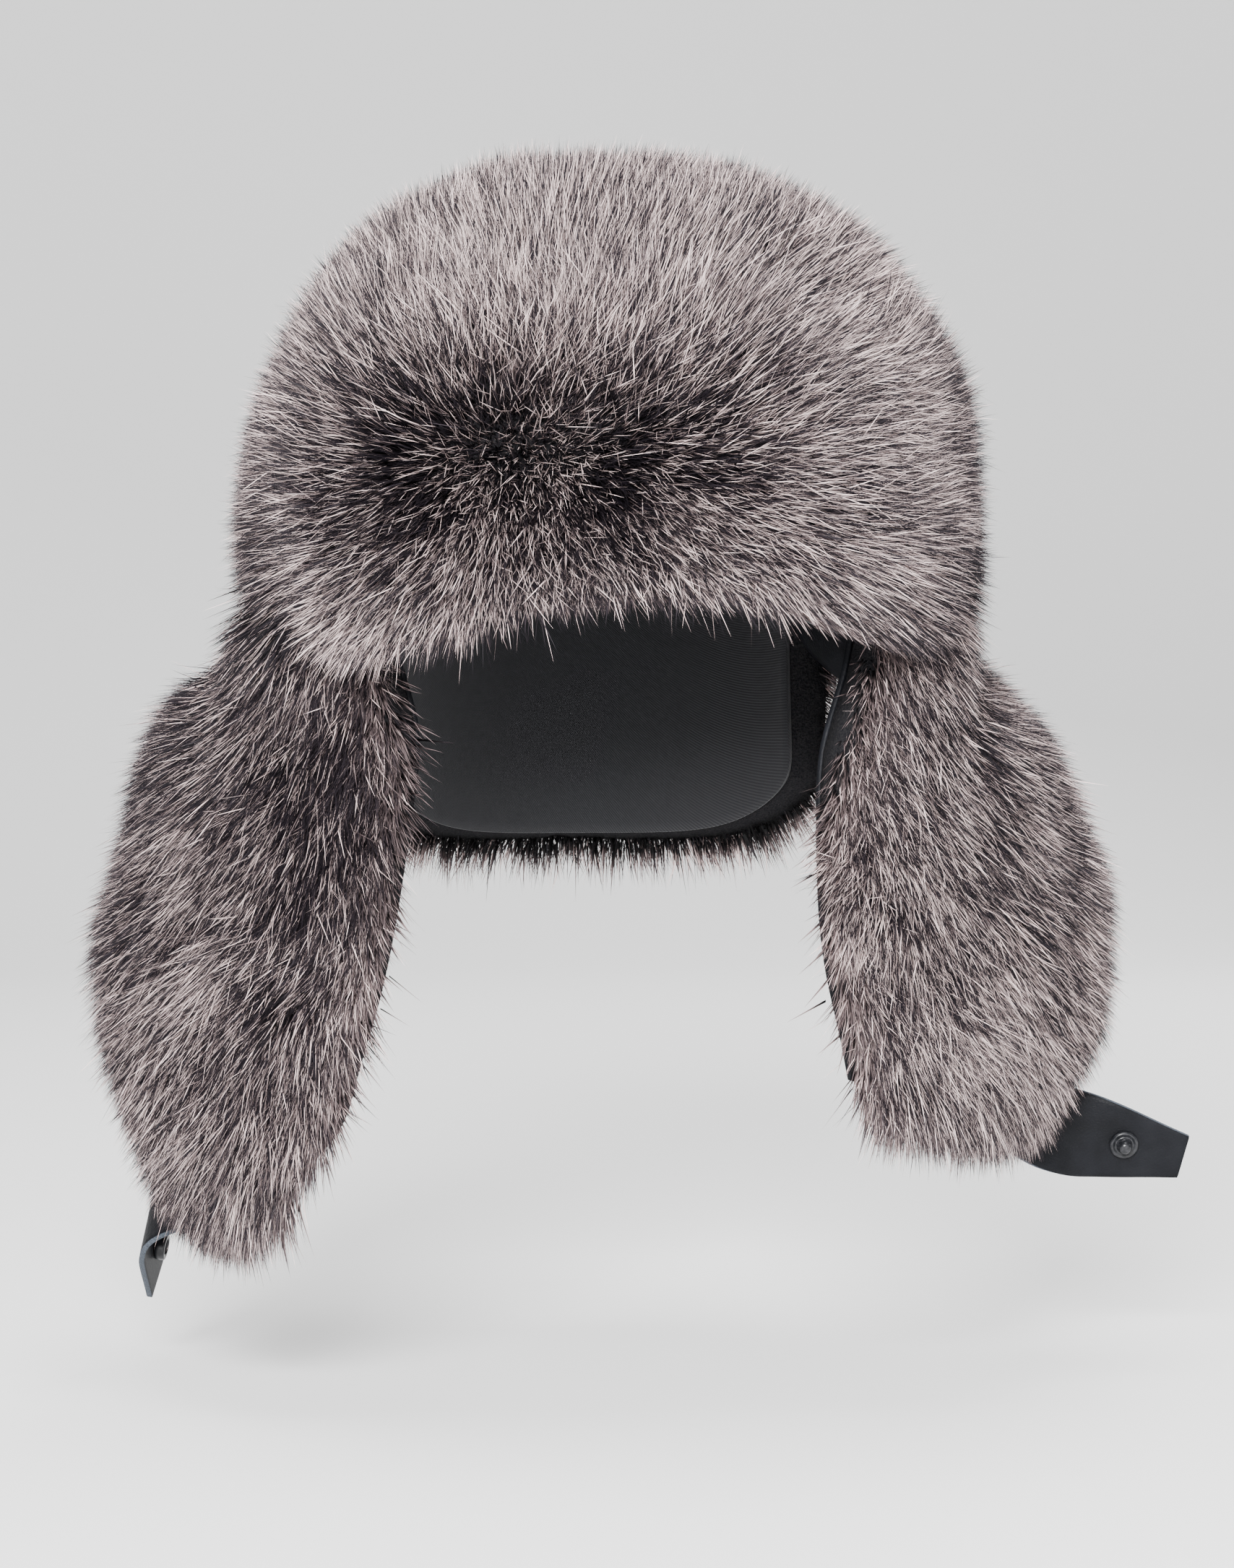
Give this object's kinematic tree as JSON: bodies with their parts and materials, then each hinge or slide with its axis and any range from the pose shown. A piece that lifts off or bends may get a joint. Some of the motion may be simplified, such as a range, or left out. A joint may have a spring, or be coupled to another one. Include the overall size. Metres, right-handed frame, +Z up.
{
  "type": "fur ushanka",
  "caption": "Winter hat of deep salt-and-pepper fur with a turned-up forehead flap, hanging ear flaps with leather snap tabs and a short nape flap.",
  "frame": {"origin": "middle of the head opening at the height of the brow, where the hat sits on a head", "axes": "+Z up through the crown; -Y the way the wearer looks; +X to the wearer's left"},
  "size_m": [0.3733, 0.2895, 0.3795],
  "materials": {
    "fur": "deep salt-and-pepper fur: near-black roots and underfur, light warm grey tips",
    "leather": "black fine-grained leather, satin",
    "lining_cloth": "black woven lining cloth, dull",
    "snap_metal": "black enamelled metal, glossy"
  },
  "bodies": {
    "root": {"crown_lining": "lining_cloth", "crown_fur": "fur", "forehead_flap_fur": "fur", "ear_flap_lining_left": "leather", "ear_flap_fur_left": "fur", "snap_tab_left": "leather", "ear_flap_lining_right": "leather", "ear_flap_fur_right": "fur", "snap_tab_right": "leather", "nape_flap_lining": "lining_cloth", "nape_flap_fur": "fur", "snap_stud": "snap_metal", "snap_socket": "snap_metal"}
  },
  "joints": []
}
